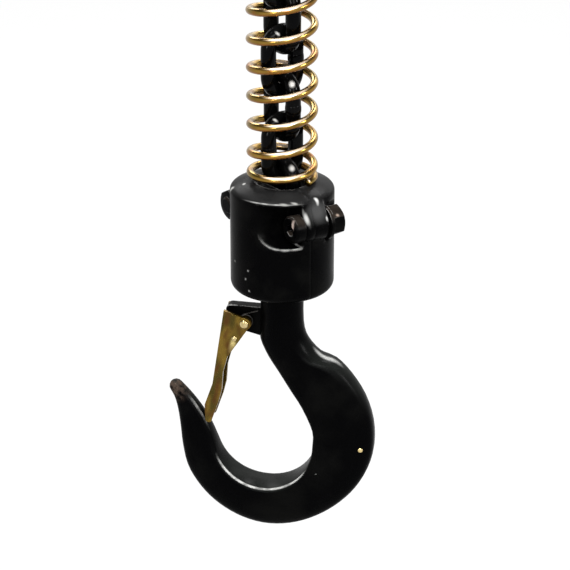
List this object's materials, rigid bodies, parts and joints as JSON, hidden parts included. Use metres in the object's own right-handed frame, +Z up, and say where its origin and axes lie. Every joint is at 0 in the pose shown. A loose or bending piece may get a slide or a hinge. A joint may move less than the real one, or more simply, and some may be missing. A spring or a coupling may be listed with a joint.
{
  "type": "chain hoist hook block",
  "caption": "Bottom end of a chain hoist: load chain in a buffer spring, split clamped yoke and a swivel hook with a sprung safety latch.",
  "frame": {"origin": "bearing point inside the crown of the top chain link, on the swivel axis", "axes": "+Z up along the chain, X in the plane of the hook with the hook's mouth towards -X, Y across the hook"},
  "size_m": [0.1013, 0.051, 0.3605],
  "materials": {
    "chain_black": "black oxidised chain steel, oiled",
    "black_paint": "satin black paint over a casting",
    "hook_black": "satin black paint over a forging",
    "black_oxide": "black oxide on bolts and nuts",
    "yellow_zinc": "yellow passivated zinc, semi-bright",
    "bright_steel": "ground steel",
    "spring_steel": "dark drawn spring wire",
    "cage_brass": "pressed brass"
  },
  "bodies": {
    "chain_top": {"chain_link_1": "chain_black"},
    "chain_middle": {"chain_link_2": "chain_black"},
    "block": {"chain_link_3": "chain_black", "chain_link_4": "chain_black", "chain_link_5": "chain_black", "chain_link_6": "chain_black", "chain_link_7": "chain_black", "chain_link_8": "chain_black", "chain_link_9": "chain_black", "chain_pin": "bright_steel", "buffer_spring": "yellow_zinc", "yoke_front_half": "black_paint", "yoke_rear_half": "black_paint", "clamp_bolts": "black_oxide", "clamp_washers": "black_oxide", "clamp_nuts": "black_oxide", "bearing_lower_race": "bright_steel"},
    "limit": {"limit_plate": "black_paint"},
    "bearing": {"bearing_balls": "bright_steel", "bearing_cage": "cage_brass"},
    "hook": {"hook": "hook_black", "hook_nut": "bright_steel", "nut_lock_pin": "bright_steel", "bearing_upper_race": "bright_steel", "latch_pin": "yellow_zinc", "latch_spring": "spring_steel"},
    "latch": {"latch": "yellow_zinc"}
  },
  "joints": [
    {"name": "chain_swing_upper", "type": "hinge", "parent": "chain_top", "child": "chain_middle", "pos_m": [0, 0, -0.02455], "axis": [0.7771, -0.6293, 0], "range_deg": [-75, 75]},
    {"name": "chain_swing_lower", "type": "hinge", "parent": "chain_middle", "child": "block", "pos_m": [0, 0, -0.04545], "axis": [0.6293, 0.7771, 0], "range_deg": [-75, 75]},
    {"name": "limit_slide", "type": "slide", "parent": "block", "child": "limit", "axis": [0, 0, 1], "range_m": [-0.055, 0], "stiffness_N_per_m": 8200, "springref_m": 0.0005, "deforming": ["buffer_spring"]},
    {"name": "hook_swivel", "type": "hinge", "parent": "block", "child": "hook", "pos_m": [0, 0, -0.2], "axis": [0, 0, 1], "continuous": true},
    {"name": "bearing_spin", "type": "hinge", "parent": "block", "child": "bearing", "pos_m": [0, 0, -0.212], "axis": [0, 0, 1], "continuous": true},
    {"name": "latch_pivot", "type": "hinge", "parent": "hook", "child": "latch", "pos_m": [-0.017, 0, -0.2449], "axis": [0, -1, 0], "range_deg": [0, 45], "stiffness_Nm_per_rad": 0.05, "springref_deg": -34.38, "deforming": ["latch_spring"]}
  ],
  "couplings": [
    {"joint": "bearing_spin", "follows": "hook_swivel", "ratio": 0.5}
  ]
}
